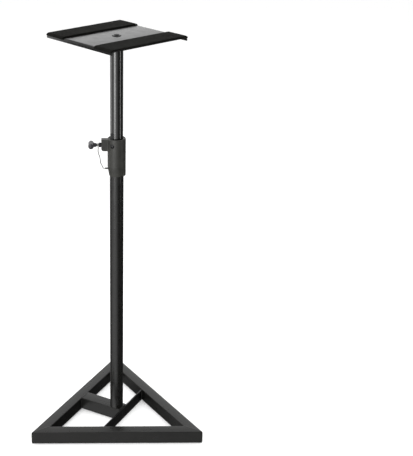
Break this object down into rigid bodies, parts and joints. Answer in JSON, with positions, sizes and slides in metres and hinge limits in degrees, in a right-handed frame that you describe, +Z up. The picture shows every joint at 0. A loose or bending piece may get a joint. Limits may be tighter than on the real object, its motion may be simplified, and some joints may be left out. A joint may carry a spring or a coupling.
{
  "type": "speaker stand",
  "caption": "Telescoping speaker stand: welded three-sided tube base, round post with clamp collar and height pin, sliding mast, square top plate with rubber strips.",
  "frame": {"origin": "middle of the floor rectangle under the whole stand", "axes": "+Z up along the post, +X to the right of someone facing the front bar of the base, which looks towards -Y"},
  "size_m": [0.4902, 0.467, 1.162],
  "materials": {
    "base_paint": "semi-gloss black powder coat",
    "post_paint": "satin black powder coat",
    "mast_paint": "gloss black paint",
    "collar_paint": "satin black paint on a casting",
    "plate_paint": "gloss black paint",
    "rubber": "matte black",
    "strip_rubber": "matte black cellular rubber",
    "nylon": "black nylon",
    "knob_plastic": "moulded black plastic",
    "black_steel": "black oxide",
    "zinc_steel": "zinc plated",
    "pin_steel": "plated steel",
    "wire_steel": "stranded steel wire",
    "brass": "turned brass"
  },
  "bodies": {
    "base": {"front_base_tube": "base_paint", "left_base_tube": "base_paint", "right_base_tube": "base_paint", "post_brace": "base_paint", "tie_bar": "base_paint", "front_left_foot_pad": "rubber", "front_right_foot_pad": "rubber", "back_foot_pad": "rubber", "post_bolt": "black_steel", "post_bolt_washer": "zinc_steel", "post_foot_plug": "zinc_steel", "lower_post_tube": "post_paint", "collar_body": "collar_paint", "collar_bush": "nylon", "ear_thread_insert": "black_steel", "collar_front_screw": "black_steel", "collar_back_screw": "black_steel", "tether_eyelet": "zinc_steel", "tether_wire": "wire_steel"},
    "glide": {"mast_glide_ring": "nylon"},
    "mast": {"mast_tube": "mast_paint", "mast_foot_plug": "nylon", "mast_top_plug": "zinc_steel", "plate_flange": "base_paint", "top_plate": "plate_paint", "back_left_strip": "strip_rubber", "front_right_strip": "strip_rubber", "plate_bolt_washer": "black_steel", "plate_bolt": "black_steel"},
    "clamp_pad": {"clamp_pressure_pad": "brass"},
    "clamp_knob": {"clamp_screw": "black_steel", "clamp_knob_grip": "knob_plastic"},
    "height_pin": {"height_pin": "pin_steel", "tether_pin_ferrule": "zinc_steel"}
  },
  "joints": [
    {"name": "mast_slide", "type": "slide", "parent": "base", "child": "glide", "axis": [0, 0, 1], "range_m": [-0.2, 0.2]},
    {"name": "mast_turn", "type": "hinge", "parent": "glide", "child": "mast", "pos_m": [0, -0.04932, 0.5], "axis": [0, 0, 1], "range_deg": [-180, 180]},
    {"name": "clamp_travel", "type": "slide", "parent": "base", "child": "clamp_pad", "axis": [-1, 0, 0], "range_m": [0, 0.0026]},
    {"name": "clamp_turn", "type": "hinge", "parent": "clamp_pad", "child": "clamp_knob", "pos_m": [-0.05, -0.04932, 0.86], "axis": [-1, 0, 0], "range_deg": [0, 720]},
    {"name": "pin_slide", "type": "slide", "parent": "base", "child": "height_pin", "axis": [1, 0, 0], "range_m": [0, 0.0065]}
  ],
  "couplings": [
    {"joint": "clamp_travel", "follows": "clamp_turn", "m_per_rad": 0.00019894}
  ]
}
